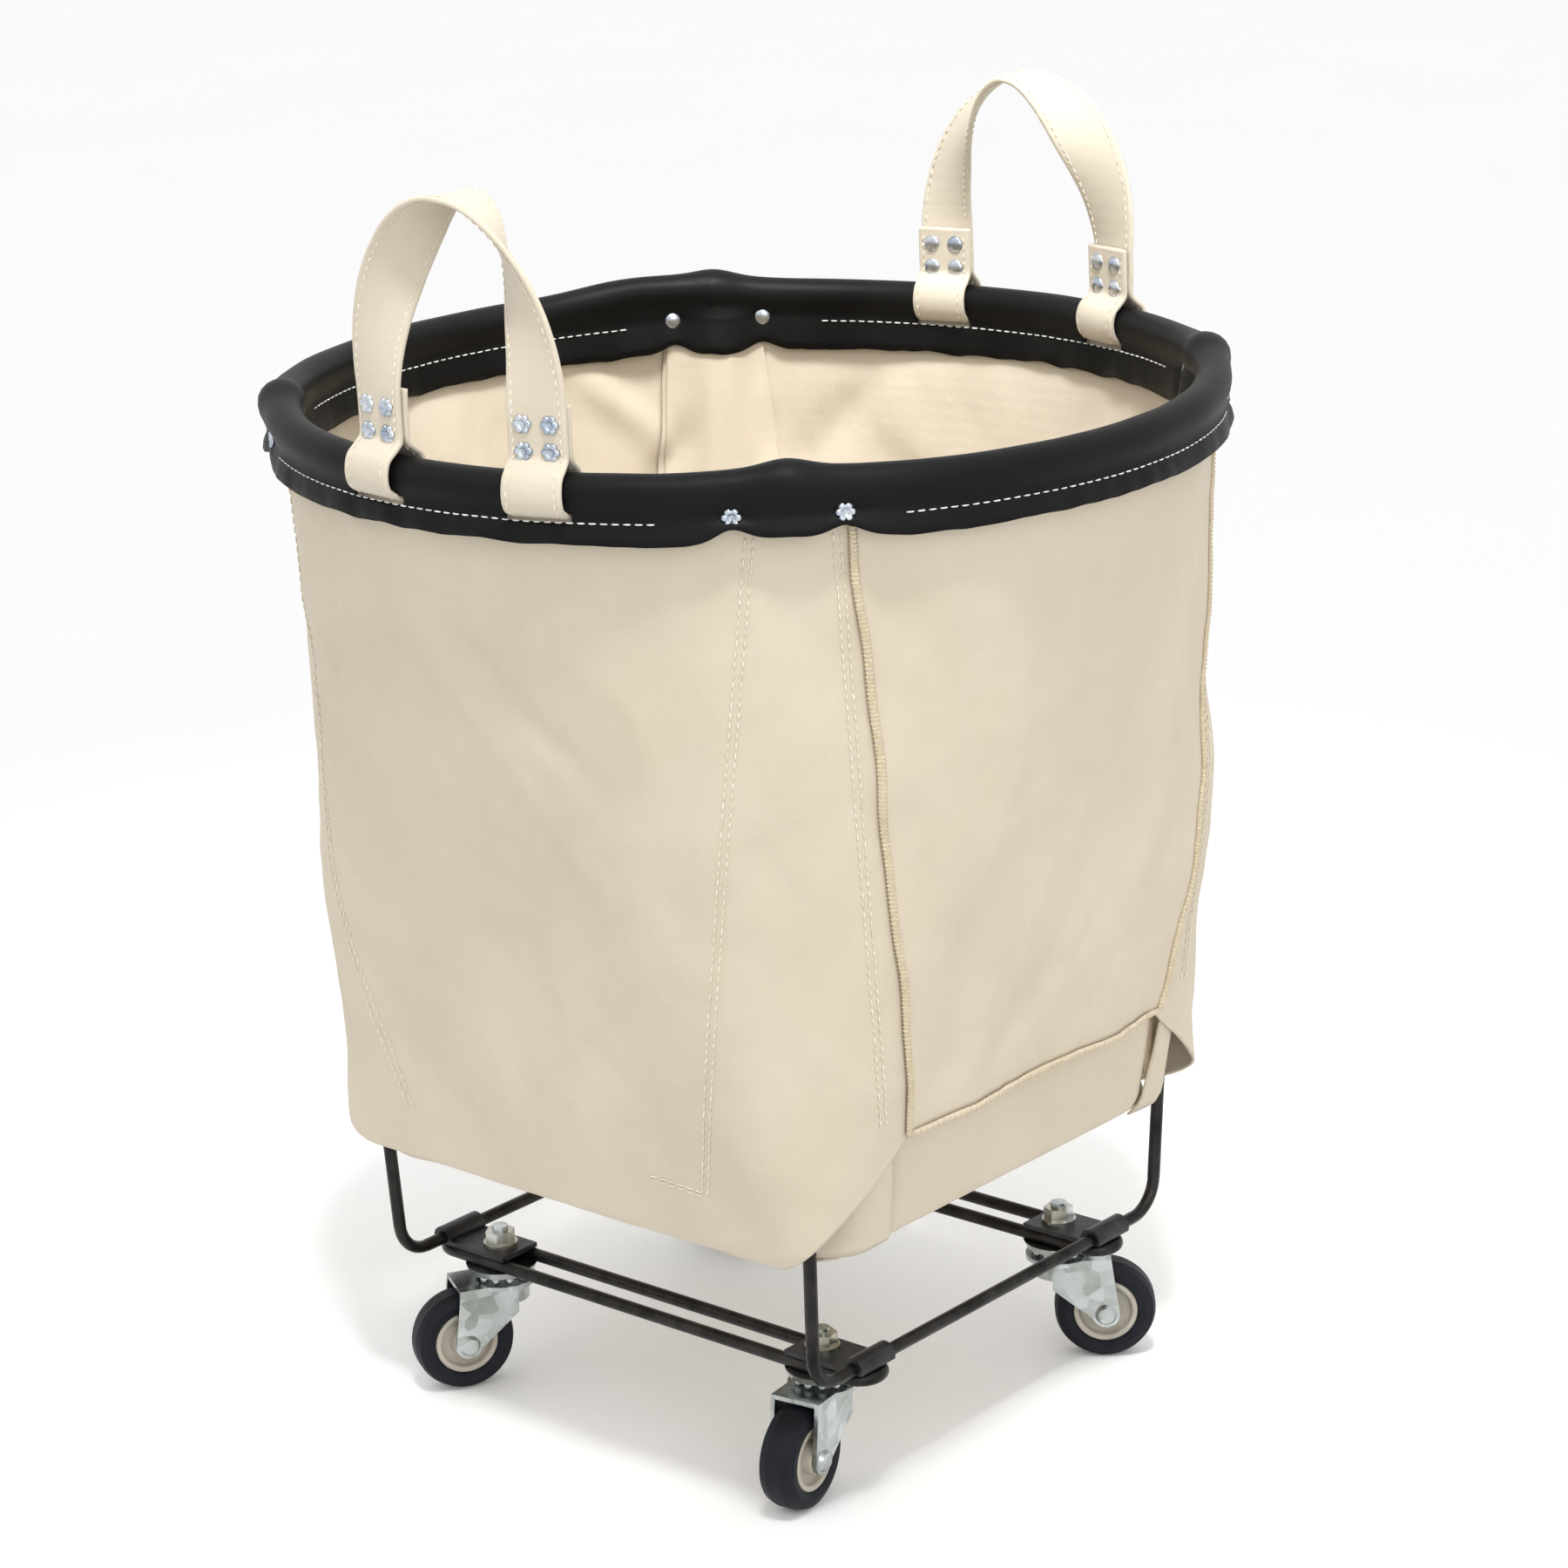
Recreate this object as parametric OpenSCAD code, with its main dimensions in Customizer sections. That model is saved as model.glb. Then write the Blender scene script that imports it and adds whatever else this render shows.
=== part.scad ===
/* [Rim] */
// Radius of the hoop's centre line
rim_r = 219; // [200:1:240]
// Height of the hoop's centre line above the floor
rim_z = 505; // [460:1:560]
// Outer radius of the vinyl roll on the hoop
roll_r = 8; // [7.5:0.1:9]
// Thickness of the vinyl binding
vinyl_t = 1.6; // [1.2:0.1:1.8]
// Height of the binding's lower edge above the floor
skirt_z = 483; // [470:1:488]

/* [Frame wires] */
// Wire diameter
wire_d = 6.35; // [6:0.05:6.6]
// Distance of the bottom rods and the uprights from the centre planes
frame_half = 133.3; // [125:0.1:140]
// Bend radius of the U wires
bend_r = 17; // [14:1:24]
// Spacing of the two rods of a cross loop
pair_gap = 20.4; // [18:0.1:22]
// Half length of a cross loop's straight rods
pair_half = 128; // [122:1:132]
// How far a hook turns round the hoop, in degrees
hook_turn = 205; // [190:5:220]

/* [Casters] */
// Caster position along the cross loops
caster_x = 104.8; // [98:0.1:108]
// Caster position across, and the middle of each cross loop
caster_y = 93; // [85:0.5:100]
// Wheel diameter
wheel_d = 50.8; // [48:0.1:52]
// Tread width
tread_w = 20; // [18:0.5:21]
// Distance from the swivel axis to the axle
trail = 22.5; // [20:0.5:24]
// Height of the cross rods' underside, where the casters bolt on
mount_z = 62.6; // [62:0.1:66]

/* [Canvas] */
// Thickness of the canvas
canvas_t = 2; // [1.6:0.1:2.4]
// Half width of the bag near its bottom
bag_half = 155; // [150:1:160]
// Corner radius of the bag near its bottom
bag_corner_r = 20; // [15:1:26]
// Height of the bag's underside
bag_z = 135; // [128:1:142]
// Height of the seam under each end panel
end_seam_z = 196; // [185:1:205]
// Half width of an end panel at its bottom seam
end_low_half = 97; // [90:1:105]
// Half angle that an end panel spans at the rim
end_top_angle = 38; // [34:1:40]

/* [Handles] */
// Strap width
strap_w = 32; // [28:1:36]
// Strap thickness
strap_t = 3; // [2.5:0.1:3.4]
// Distance between the two legs of the front handle, and of the back handle
leg_spacing = [86, 106]; // [80:1:110]
// Top of a handle above the floor
handle_z = 623; // [600:1:640]
// How far the top of a handle leans over the bag
handle_lean = 6; // [0:1:30]

/* [Hidden] */
$fn = 48;
wire_r = wire_d / 2;
pair_z = mount_z + wire_r;
low_z = pair_z + wire_d;
corners = [[-1, -1], [1, -1], [1, 1], [-1, 1]];
corner_names = ["left", "front", "right", "back"];
// Direction of each caster's trail at rest, in degrees from +X
caster_yaw = [-120, -82, 39, 160];

// The uprights stand in the vertical planes through the bag's diagonals.
hook_r = wire_d + 0.3;
arc_thin = 0.1;
arc_lap = 2;
base_s = frame_half * sqrt(2);
hook_reach = norm([rim_r - base_s, rim_z - low_z]);
upright_len = sqrt(hook_reach * hook_reach - hook_r * hook_r);
diag_tilt = atan2(rim_r - base_s, rim_z - low_z) - asin(hook_r / hook_reach);
side_tilt = atan(tan(diag_tilt) / sqrt(2));
end_tilt = atan(tan(side_tilt) * cos(side_tilt));
bend_turn = 90 - end_tilt;
bend_len = bend_r * tan(bend_turn / 2);

// Clips, nuts and the caster's stack of parts
clip_t = 2.5;
clip_w = 25;
clip_in = 13;
clip_z = pair_z + wire_r;
stud_r = 4;
stud_hole_r = 4.3;
nut_z = clip_z + clip_t;
nut_h = 8;
plate_t = 3.5;
ball_r = 2;
ball_ring_r = 13;
fork_t = 2.2;
fork_top = mount_z - plate_t - 2 * ball_r - 0.12;
pin_r = 4.95;
pin_hole_r = 5;
axle_z = wheel_d / 2;
axle_r = 3;
axle_hole_r = 3.05;
fork_gap = tread_w + 2;
hub_r = 16;
leg_end_r = 6.8;
fork_back = 4;
fork_back_h = 11;

// Bag: the wall at the rim, and the gap kept between sewn pieces
wall_r = rim_r + canvas_t / 2;
hem_in = wire_r + 0.1;
hem_out = roll_r - vinyl_t - 0.1;
bottom_round = 14;
cap_r = 13.2;
cap_half = 11;
sleeve_foot = 16;
rivet_z = 494.5;
rivet_angle = 6.2;
loop_in = roll_r + 0.8;
loop_out = loop_in + strap_t;
stem_top = rim_z + 38;
hinge_z = stem_top + 1.8;
// Middle of the front handle and of the back handle, along X
handle_off = [21, 5];

// ---- Wire frame ----

// Half of a U wire in its own plane: bottom rod, bend and upright. Where the wire
// is bent it is a little thinner, and each arc starts just inside a straight length.
module wire_half() {
    rotate([-90, 0, 0]) cylinder(h = frame_half - bend_len, r = wire_r);
    translate([0, frame_half - bend_len, bend_r])
        rotate([90, 0, 90])
            rotate([0, 0, -90])
                rotate([0, 0, -arc_lap]) rotate_extrude(angle = bend_turn + 2 * arc_lap)
                    translate([bend_r, 0]) circle(r = wire_r - arc_thin);
    translate([0, frame_half, 0])
        rotate([-end_tilt, 0, 0])
            translate([0, 0, bend_len]) cylinder(h = upright_len - bend_len, r = wire_r);
}

// The hook at the top of an upright, round the hoop
module hook() {
    translate([rim_r, 0, rim_z])
        rotate([90, 0, 0])
            rotate([0, 0, 180 - diag_tilt - hook_turn])
                rotate_extrude(angle = hook_turn + arc_lap)
                    translate([hook_r, 0]) circle(r = wire_r - arc_thin);
}

module frame_wire(side) {
    color("#3b3633") union() {
        translate([side * frame_half, 0, low_z])
            rotate([0, side * side_tilt, 0]) {
                wire_half();
                mirror([0, 1, 0]) wire_half();
            }
        rotate([0, 0, side > 0 ? 45 : 135]) hook();
        rotate([0, 0, side > 0 ? -45 : -135]) hook();
    }
}

// A closed loop of wire whose two rods carry two casters
module cross_loop(side) {
    color("#3b3633")
        translate([0, side * caster_y, pair_z])
            for (s = [-1, 1]) {
                translate([-pair_half, s * pair_gap / 2, 0])
                    rotate([0, 90, 0]) cylinder(h = 2 * pair_half, r = wire_r);
                translate([s * pair_half, 0, 0])
                    rotate([0, 0, -90 * s])
                        rotate_extrude(angle = 180) translate([pair_gap / 2, 0]) circle(r = wire_r);
            }
}

// Steel strap that lies on a cross loop and curls over the U wire
module corner_clip(k) {
    curl_in = wire_r + 0.15;
    color("#4a4745")
        mirror([corners[k][0] < 0 ? 1 : 0, 0, 0])
            translate([0, corners[k][1] * caster_y, 0])
                difference() {
                    rotate([90, 0, 0])
                        linear_extrude(clip_w, center = true) difference() {
                            union() {
                                translate([caster_x - clip_in, clip_z])
                                    square([frame_half - curl_in - caster_x + clip_in, clip_t]);
                                translate([frame_half, low_z]) circle(r = curl_in + clip_t);
                            }
                            translate([frame_half, low_z]) circle(r = curl_in);
                            translate([frame_half - 8, low_z - 20]) square([20, 20 - wire_r + 0.01]);
                            translate([frame_half, low_z - 8]) square([8, 6]);
                        }
                    translate([caster_x, 0, clip_z - 1]) cylinder(h = clip_t + 2, r = stud_hole_r);
                }
}

// ---- Rim ----

module rim_hoop() {
    color("#3b3633") translate([0, 0, rim_z])
        rotate_extrude($fn = 96) translate([rim_r, 0]) circle(r = wire_r, $fn = 48);
}

// Section of the binding, as an offset copy of its roll and two skirts
module binding_section(half, low) {
    circle(r = half);
    translate([-half, low - rim_z]) square([2 * half, rim_z - low]);
}

// Fatter length of the roll where a hook passes inside it
module corner_cap(r, half, low) {
    rotate([90, 0, 0]) cylinder(h = 2 * half, r = r, center = true);
    translate([-r, -half, low - rim_z]) cube([2 * r, 2 * half, rim_z - low]);
}

// Openings for the legs of the handles, as far up as a given depth below the hoop
module leg_slots(depth) {
    for (side = [-1, 1], leg = [-1, 1])
        rotate([0, 0, leg_angle(side, leg)])
            translate([rim_r - 15, -strap_w / 2 - 0.5, rim_z - loop_out - 0.4])
                cube([30, strap_w + 1, loop_out + 0.4 - depth]);
}

// Value of a pair that belongs to the front (-1) or to the back (1)
function of_side(pair, side) = pair[side < 0 ? 0 : 1];

// Direction of a handle's leg from the middle of the bag, in degrees
function leg_angle(side, leg) = side * 90
    - side * asin((of_side(handle_off, side) + leg * of_side(leg_spacing, side) / 2) / rim_r);

// Places its children where the rim's rivets go
module at_rim_rivets() {
    for (q = [0 : 3], s = [-1, 1])
        rotate([0, 0, 45 + 90 * q + s * rivet_angle])
            translate([rim_r, 0, rivet_z]) rotate([0, 90, 0]) children();
}

module rim_binding() {
    color("#1e1e1d") difference() {
        union() {
            translate([0, 0, rim_z])
                rotate_extrude($fn = 96) translate([rim_r, 0]) binding_section(roll_r, skirt_z);
            for (q = [0 : 3])
                rotate([0, 0, 45 + 90 * q])
                    translate([rim_r, 0, rim_z]) corner_cap(cap_r, cap_half, skirt_z + 0.2);
        }
        translate([0, 0, rim_z])
            rotate_extrude($fn = 96)
                translate([rim_r, 0]) binding_section(roll_r - vinyl_t, skirt_z - 1);
        for (q = [0 : 3])
            rotate([0, 0, 45 + 90 * q])
                translate([rim_r, 0, rim_z])
                    corner_cap(cap_r - vinyl_t, cap_half - vinyl_t, skirt_z - 2);
        leg_slots(1.5);
        at_rim_rivets() cylinder(h = 40, r = 2, center = true);
    }
}

// Shank, domed head inside and star-clinched end outside
module rim_rivets() {
    color("#9aa3ad")
        at_rim_rivets() {
            cylinder(h = 2 * roll_r + 0.4, r = 1.95, center = true);
            translate([0, 0, roll_r + 0.1]) cylinder(h = 1.2, r = 5);
            translate([0, 0, -roll_r - 1.75]) cylinder(h = 1.6, r1 = 3, r2 = 5);
        }
}

// ---- Bag ----

module rounded_square(half, r) {
    offset(r = r, $fn = 32) square(2 * (half - r), center = true);
}

// Solid of the bag, moved in by a given thickness
module bag_solid(inset) {
    hull() {
        translate([0, 0, bag_z + inset])
            linear_extrude(0.1) rounded_square(bag_half - bottom_round, bag_corner_r);
        translate([0, 0, bag_z + bottom_round])
            linear_extrude(0.1) rounded_square(bag_half - inset, bag_corner_r - inset);
        translate([0, 0, skirt_z - 3]) cylinder(h = 0.1, r = wall_r - inset, $fn = 96);
    }
}

module bag_shell() {
    difference() {
        bag_solid(0);
        bag_solid(canvas_t);
        translate([0, 0, skirt_z - 2.9 - canvas_t]) cylinder(h = 10, r = wall_r - canvas_t, $fn = 96);
    }
    translate([0, 0, rim_z]) rotate_extrude($fn = 96) translate([rim_r, 0]) difference() {
        union() {
            circle(r = hem_out);
            translate([-canvas_t / 2, skirt_z - 2.9 - rim_z])
                square([canvas_t, rim_z - skirt_z + 2.9 - hem_in]);
        }
        circle(r = hem_in);
    }
}

// Space of one end panel: a wedge that widens from its seam to the rim
module end_space(side, grow) {
    slope = (rim_r * sin(end_top_angle) - end_low_half) / (rim_z - end_seam_z);
    top = end_low_half + slope * (rim_z + 20 - end_seam_z);
    mirror([side < 0 ? 1 : 0, 0, 0])
        rotate([90, 0, 90])
            linear_extrude(300)
                polygon([[-end_low_half - grow, end_seam_z - grow], [end_low_half + grow, end_seam_z - grow],
                    [top + grow, rim_z + 20], [-top - grow, rim_z + 20]]);
}

// Everything that passes through the canvas
module bag_cuts() {
    leg_slots(loop_in - 0.4);
    at_rim_rivets() cylinder(h = 40, r = 2, center = true);
    for (q = [0 : 3])
        rotate([0, 0, 45 + 90 * q])
            translate([rim_r - 12, -cap_half + 3, rim_z - 13]) cube([24, 2 * cap_half - 6, 40]);
    for (c = corners)
        translate([c[0] * (frame_half + 4), c[1] * (frame_half + 4), bag_z - 1])
            cylinder(h = bottom_round + 6, r = 9);
    // Slanted notch in each end face, where the upright comes out
    for (sx = [-1, 1], sy = [-1, 1])
        mirror([sx < 0 ? 1 : 0, 0, 0]) mirror([0, sy < 0 ? 1 : 0, 0])
            rotate([90, 0, 90]) translate([0, 0, bag_half - bottom_round - 1])
                linear_extrude(30)
                    polygon([[end_low_half + 1, end_seam_z - 1], [end_low_half + 14, end_seam_z - 38],
                        [bag_half - 12, bag_z + 4]]);
}

module canvas_wrap() {
    color("#e4d7c0") difference() {
        bag_shell();
        end_space(-1, 0.1);
        end_space(1, 0.1);
        bag_cuts();
    }
}

module end_panel(side) {
    color("#e6dac4") difference() {
        intersection() {
            bag_shell();
            end_space(side, 0);
        }
        at_rim_rivets() cylinder(h = 40, r = 2, center = true);
    }
}

// Strip sewn inside a corner, which makes the tunnel for an upright
module sleeve_solid(r, low, top) {
    tilt = tan(diag_tilt);
    hull() {
        translate([base_s + tilt * (low - low_z), 0, low]) cylinder(h = 0.1, r = r, $fn = 24);
        translate([base_s + tilt * (top - low_z), 0, top]) cylinder(h = 0.1, r = r, $fn = 24);
        translate([base_s + tilt * (low - low_z) + 3, -r - 26, low]) cube([30, 2 * r + 52, 0.1]);
        translate([base_s + tilt * (top - low_z) + 5, -r - 8, top]) cube([12, 2 * r + 16, 0.1]);
    }
}

module corner_sleeve(k) {
    color("#dccbad") intersection() {
        bag_solid(canvas_t + 0.3);
        rotate([0, 0, -135 + 90 * k]) difference() {
            sleeve_solid(5.6, bag_z + sleeve_foot, skirt_z - 4);
            sleeve_solid(3.8, bag_z, skirt_z);
        }
    }
}

// ---- Handles ----

// Places its children at the two legs of a handle, X pointing outwards
module at_legs(side) {
    for (leg = [-1, 1])
        rotate([0, 0, leg_angle(side, leg)]) translate([rim_r, 0, rim_z]) children();
}

module at_leg_rivets() {
    for (z = [17, 29], y = [-8, 8])
        translate([0, y, z]) rotate([0, 90, 0]) children();
}

// Each leg's strap goes round the rim and is riveted to itself above it
module handle_loops(side) {
    color("#e0d2ba") at_legs(side) difference() {
        rotate([90, 0, 0]) linear_extrude(strap_w, center = true) difference() {
            union() {
                circle(r = loop_out);
                translate([-strap_t, 0]) square([2 * strap_t, stem_top - rim_z]);
            }
            circle(r = loop_in);
        }
        at_leg_rivets() cylinder(h = 20, r = 2, center = true);
    }
}

module handle_rivets(side) {
    color("#9aa3ad") at_legs(side) at_leg_rivets() {
        cylinder(h = 2 * strap_t, r = 2, center = true);
        translate([0, 0, strap_t]) cylinder(h = 1.2, r = 4.2);
        translate([0, 0, -strap_t - 1.4]) cylinder(h = 1.4, r1 = 2.6, r2 = 4.2);
    }
}

// Strap of a handle: a ribbon that rises, turns half round and comes down
ARCH_STEPS = 28;
function arch_path(t, gap) = [
    -gap / 2 * cos(180 * t) * (1 - 0.12 * pow(sin(180 * t), 2)),
    handle_lean * pow(sin(180 * t), 1.5),
    (handle_z - hinge_z) * pow(sin(180 * t), 0.8)];
function unit(v) = v / norm(v);
function arch_dir(t, gap) = t <= 0 ? [0, 0, 1] : t >= 1 ? [0, 0, -1]
    : unit(arch_path(min(t + 0.01, 1), gap) - arch_path(max(t - 0.01, 0), gap));
function arch_wide(t, gap) = let (w = [cos(180 * t), sin(180 * t), 0], d = arch_dir(t, gap))
    unit(w - d * (w * d));
function arch_ring(t, gap) = let (p = arch_path(t, gap), w = arch_wide(t, gap) * strap_w / 2,
    n = cross(arch_dir(t, gap), arch_wide(t, gap)) * strap_t / 2)
    [p - w - n, p + w - n, p + w + n, p - w + n];

module ribbon(gap) {
    rings = [for (i = [0 : ARCH_STEPS]) each arch_ring(i / ARCH_STEPS, gap)];
    sides = [for (i = [0 : ARCH_STEPS - 1], j = [0 : 3])
        let (a = 4 * i + j, b = 4 * i + (j + 1) % 4) each [[a, a + 4, b + 4], [a, b + 4, b]]];
    last = 4 * ARCH_STEPS;
    polyhedron(points = rings,
        faces = concat([[0, 1, 2], [0, 2, 3]], sides,
            [[last, last + 2, last + 1], [last, last + 3, last + 2]]));
}

module handle_arch(side) {
    gap = of_side(leg_spacing, side);
    color("#e0d2ba")
        translate([of_side(handle_off, side), side * sqrt(rim_r * rim_r - gap * gap / 4), hinge_z])
            mirror([0, side > 0 ? 1 : 0, 0]) {
                ribbon(gap);
                for (leg = [-1, 1])
                    translate([leg * gap / 2, 0, 0])
                        rotate([0, 90, 0]) cylinder(h = strap_w, r = strap_t / 2, center = true);
            }
}

// ---- Casters ----

// Places its children at a caster: X along the trail, the floor at zero
module at_caster(k) {
    translate([corners[k][0] * caster_x, corners[k][1] * caster_y, 0])
        rotate([0, 0, caster_yaw[k]]) children();
}

// Threaded stud, raceway plate and kingpin in one piece
module caster_stud(k) {
    color("#b9bcc0") at_caster(k) {
        translate([0, 0, mount_z]) cylinder(h = nut_z + nut_h + 2.5 - mount_z, r = stud_r);
        translate([0, 0, mount_z - plate_t]) cylinder(h = plate_t, r1 = 16.5, r2 = 18);
        translate([0, 0, fork_top - fork_t - 0.1])
            cylinder(h = mount_z - fork_top + fork_t + 0.1, r = pin_r);
        translate([0, 0, fork_top - fork_t - 2.6]) cylinder(h = 2.5, r = 7.5);
    }
}

module caster_balls(k) {
    color("#c9ccd0") at_caster(k)
        for (i = [0 : 11])
            rotate([0, 0, 30 * i])
                translate([ball_ring_r, 0, mount_z - plate_t - ball_r]) sphere(r = ball_r, $fn = 24);
}

module caster_nut(k) {
    color("#b5b0a0") at_caster(k) translate([0, 0, nut_z]) difference() {
        union() {
            cylinder(h = 2, r = 8.6);
            translate([0, 0, 2]) cylinder(h = nut_h - 2, r = 7.5, $fn = 6);
        }
        translate([0, 0, -1]) cylinder(h = nut_h + 2, r = stud_r);
    }
}

// Pressed fork: a round top plate, two tapered legs and a rounded web behind them
module caster_fork(k) {
    half = fork_gap / 2;
    leg_side = [[-fork_back, fork_top], [-fork_back, axle_z + 14], [trail - leg_end_r, axle_z - 2],
        [trail + leg_end_r, axle_z + 0.5], [trail + 3, fork_top]];
    color("#c3c6ca") at_caster(k) difference() {
        union() {
            translate([0, 0, fork_top - fork_t]) cylinder(h = fork_t, r = 17);
            translate([-fork_back, -half - fork_t, fork_top - fork_t])
                cube([trail + 3 + fork_back, fork_gap + 2 * fork_t, fork_t]);
            for (s = [-1, 1])
                translate([0, s * (half + fork_t / 2), 0]) rotate([90, 0, 0]) {
                    linear_extrude(fork_t, center = true) polygon(leg_side);
                    translate([trail, axle_z, 0]) cylinder(h = fork_t, r = leg_end_r, center = true);
                }
            translate([0, 0, fork_top - fork_back_h]) difference() {
                cylinder(h = fork_back_h, r = half + fork_t);
                translate([0, 0, -1]) cylinder(h = fork_back_h + 2, r = half);
                translate([-fork_back, -30, -1]) cube([60, 60, fork_back_h + 2]);
            }
        }
        translate([0, 0, fork_top - fork_t - 1]) cylinder(h = fork_t + 2, r = pin_hole_r);
        translate([trail, 0, axle_z]) rotate([90, 0, 0]) cylinder(h = 60, r = axle_r, center = true);
    }
}

// Riveted axle with a head outside each leg
module caster_axle(k) {
    color("#a9abad") at_caster(k) translate([trail, 0, axle_z]) rotate([90, 0, 0]) {
        cylinder(h = fork_gap + 2 * fork_t, r = axle_r, center = true);
        for (m = [0, 1])
            mirror([0, 0, m]) translate([0, 0, fork_gap / 2 + fork_t])
                cylinder(h = 2, r1 = 5.5, r2 = 4);
    }
}

module wheel_hub(k) {
    color("#b7b2a6") at_caster(k) translate([trail, 0, axle_z]) rotate([90, 0, 0]) difference() {
        union() {
            cylinder(h = tread_w - 4, r = hub_r, center = true);
            cylinder(h = fork_gap - 0.5, r = 6.5, center = true);
        }
        cylinder(h = fork_gap + 2, r = axle_hole_r, center = true);
    }
}

module wheel_tyre(k) {
    edge = 2.5;
    out = wheel_d / 2;
    half = tread_w / 2;
    color("#23262e") at_caster(k) translate([trail, 0, axle_z]) rotate([90, 0, 0])
        rotate_extrude($fn = 64)
            polygon([[hub_r, -half + 2], [hub_r + 1, -half + 1], [out - 2 * edge, -half + 0.6],
                [out - edge / 2, -half + edge], [out, -half + 2.5 * edge], [out, half - 2.5 * edge],
                [out - edge / 2, half - edge], [out - 2 * edge, half - 0.6],
                [hub_r + 1, half - 1], [hub_r, half - 2]]);
}

canvas_wrap();
end_panel(-1);  // end_panel_left
end_panel(1);  // end_panel_right
rim_binding();
rim_hoop();
rim_rivets();
frame_wire(-1);  // frame_wire_left
frame_wire(1);  // frame_wire_right
cross_loop(-1);  // cross_loop_front
cross_loop(1);  // cross_loop_back
handle_loops(-1);  // handle_loops_front
handle_loops(1);  // handle_loops_back
handle_rivets(-1);  // handle_rivets_front
handle_rivets(1);  // handle_rivets_back
handle_arch(-1);  // handle_arch_front
handle_arch(1);  // handle_arch_back
for (k = [0 : 3]) {
    at = corner_names[k];
    corner_sleeve(k);
    corner_clip(k);
    caster_stud(k);
    caster_balls(k);
    caster_nut(k);
    caster_fork(k);
    caster_axle(k);
    wheel_hub(k);
    wheel_tyre(k);
}
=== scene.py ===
"""Looks of a canvas laundry cart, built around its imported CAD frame. Lengths in here are in metres."""
import math

import bpy
import numpy as np
from mathutils import Matrix, Vector, noise


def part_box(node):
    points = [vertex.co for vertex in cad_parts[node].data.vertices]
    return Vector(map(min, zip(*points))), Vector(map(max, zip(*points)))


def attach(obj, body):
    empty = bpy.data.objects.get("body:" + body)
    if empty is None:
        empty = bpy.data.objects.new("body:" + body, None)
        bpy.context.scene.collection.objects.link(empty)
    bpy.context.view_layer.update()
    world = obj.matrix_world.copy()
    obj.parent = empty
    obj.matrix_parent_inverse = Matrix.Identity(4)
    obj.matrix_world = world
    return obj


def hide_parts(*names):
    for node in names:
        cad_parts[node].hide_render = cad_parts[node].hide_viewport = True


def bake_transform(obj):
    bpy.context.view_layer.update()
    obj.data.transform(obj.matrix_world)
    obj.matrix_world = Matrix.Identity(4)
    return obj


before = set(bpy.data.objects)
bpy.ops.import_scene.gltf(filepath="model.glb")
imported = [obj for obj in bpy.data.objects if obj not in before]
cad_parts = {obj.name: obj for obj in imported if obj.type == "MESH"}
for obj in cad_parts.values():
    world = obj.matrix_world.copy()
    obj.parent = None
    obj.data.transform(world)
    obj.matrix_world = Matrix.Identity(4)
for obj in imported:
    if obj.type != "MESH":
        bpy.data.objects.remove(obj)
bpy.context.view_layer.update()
MM = 0.001

# ---- Sizes, from the frame where it has them ----
hoop_low, hoop_high = (np.array(c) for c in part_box("rim_hoop"))
WIRE_R = (hoop_high[2] - hoop_low[2]) / 2
RIM_R = (hoop_high[0] - hoop_low[0]) / 2 - WIRE_R
RIM_Z = (hoop_high[2] + hoop_low[2]) / 2
BAG_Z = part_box("canvas_wrap")[0][2]
TOP_Z = RIM_Z - 5 * MM
BAG_HALF = 155 * MM
BAG_DIAG = 210.5 * MM
BOTTOM_ROUND = 15 * MM
SEAM_Z = 196 * MM
SEAM_LOW_ANGLE = 30.7
FOLD_Z = BAG_Z + BOTTOM_ROUND
CANVAS_T = 1.5 * MM
LEG_SPACING = {-1: 86 * MM, 1: 106 * MM}
STRAP_W = 28.5 * MM
STRAP_T = 2.8 * MM
HANDLE_OFF = {-1: 21 * MM, 1: 5 * MM}
HANDLE_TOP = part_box("handle_arch_front")[1][2] - STRAP_T / 2
HANDLE_Z = {-1: HANDLE_TOP + 5 * MM, 1: HANDLE_TOP}
HANDLE_LEAN = 6 * MM
RIVET_ANGLE = 6.2
CORNER_NAMES = {-135: "left", -45: "front", 45: "right", 135: "back"}
UPRIGHT_LOW_S = 133.3 * MM * math.sqrt(2)
UPRIGHT_LOW_Z = 72.1 * MM
UPRIGHT_TILT = math.tan(math.radians(3.15))


# ---- Materials ----
def new_material(name):
    material = bpy.data.materials.new(name)
    material.use_nodes = True
    tree = material.node_tree
    shader = tree.nodes["Principled BSDF"]
    return material, tree, shader


def add_node(tree, kind, **inputs):
    node = tree.nodes.new(kind)
    for key, value in inputs.items():
        node.inputs[key.replace("_", " ")].default_value = value
    return node


def texture_coords(tree, scale=(1, 1, 1)):
    coords = tree.nodes.new("ShaderNodeTexCoord")
    mapping = tree.nodes.new("ShaderNodeMapping")
    mapping.inputs["Scale"].default_value = scale
    tree.links.new(coords.outputs["Object"], mapping.inputs["Vector"])
    return mapping.outputs["Vector"]


def noise_texture(tree, vector, scale, detail=3.0, roughness=0.5):
    node = add_node(tree, "ShaderNodeTexNoise", Scale=scale, Detail=detail, Roughness=roughness)
    tree.links.new(vector, node.inputs["Vector"])
    return node.outputs["Fac"]


def ramp(tree, factor, stops):
    node = tree.nodes.new("ShaderNodeValToRGB")
    elements = node.color_ramp.elements
    while len(elements) < len(stops):
        elements.new(0.5)
    for element, (position, color) in zip(elements, stops):
        element.position = position
        element.color = (*color, 1)
    tree.links.new(factor, node.inputs["Fac"])
    return node.outputs["Color"]


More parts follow.
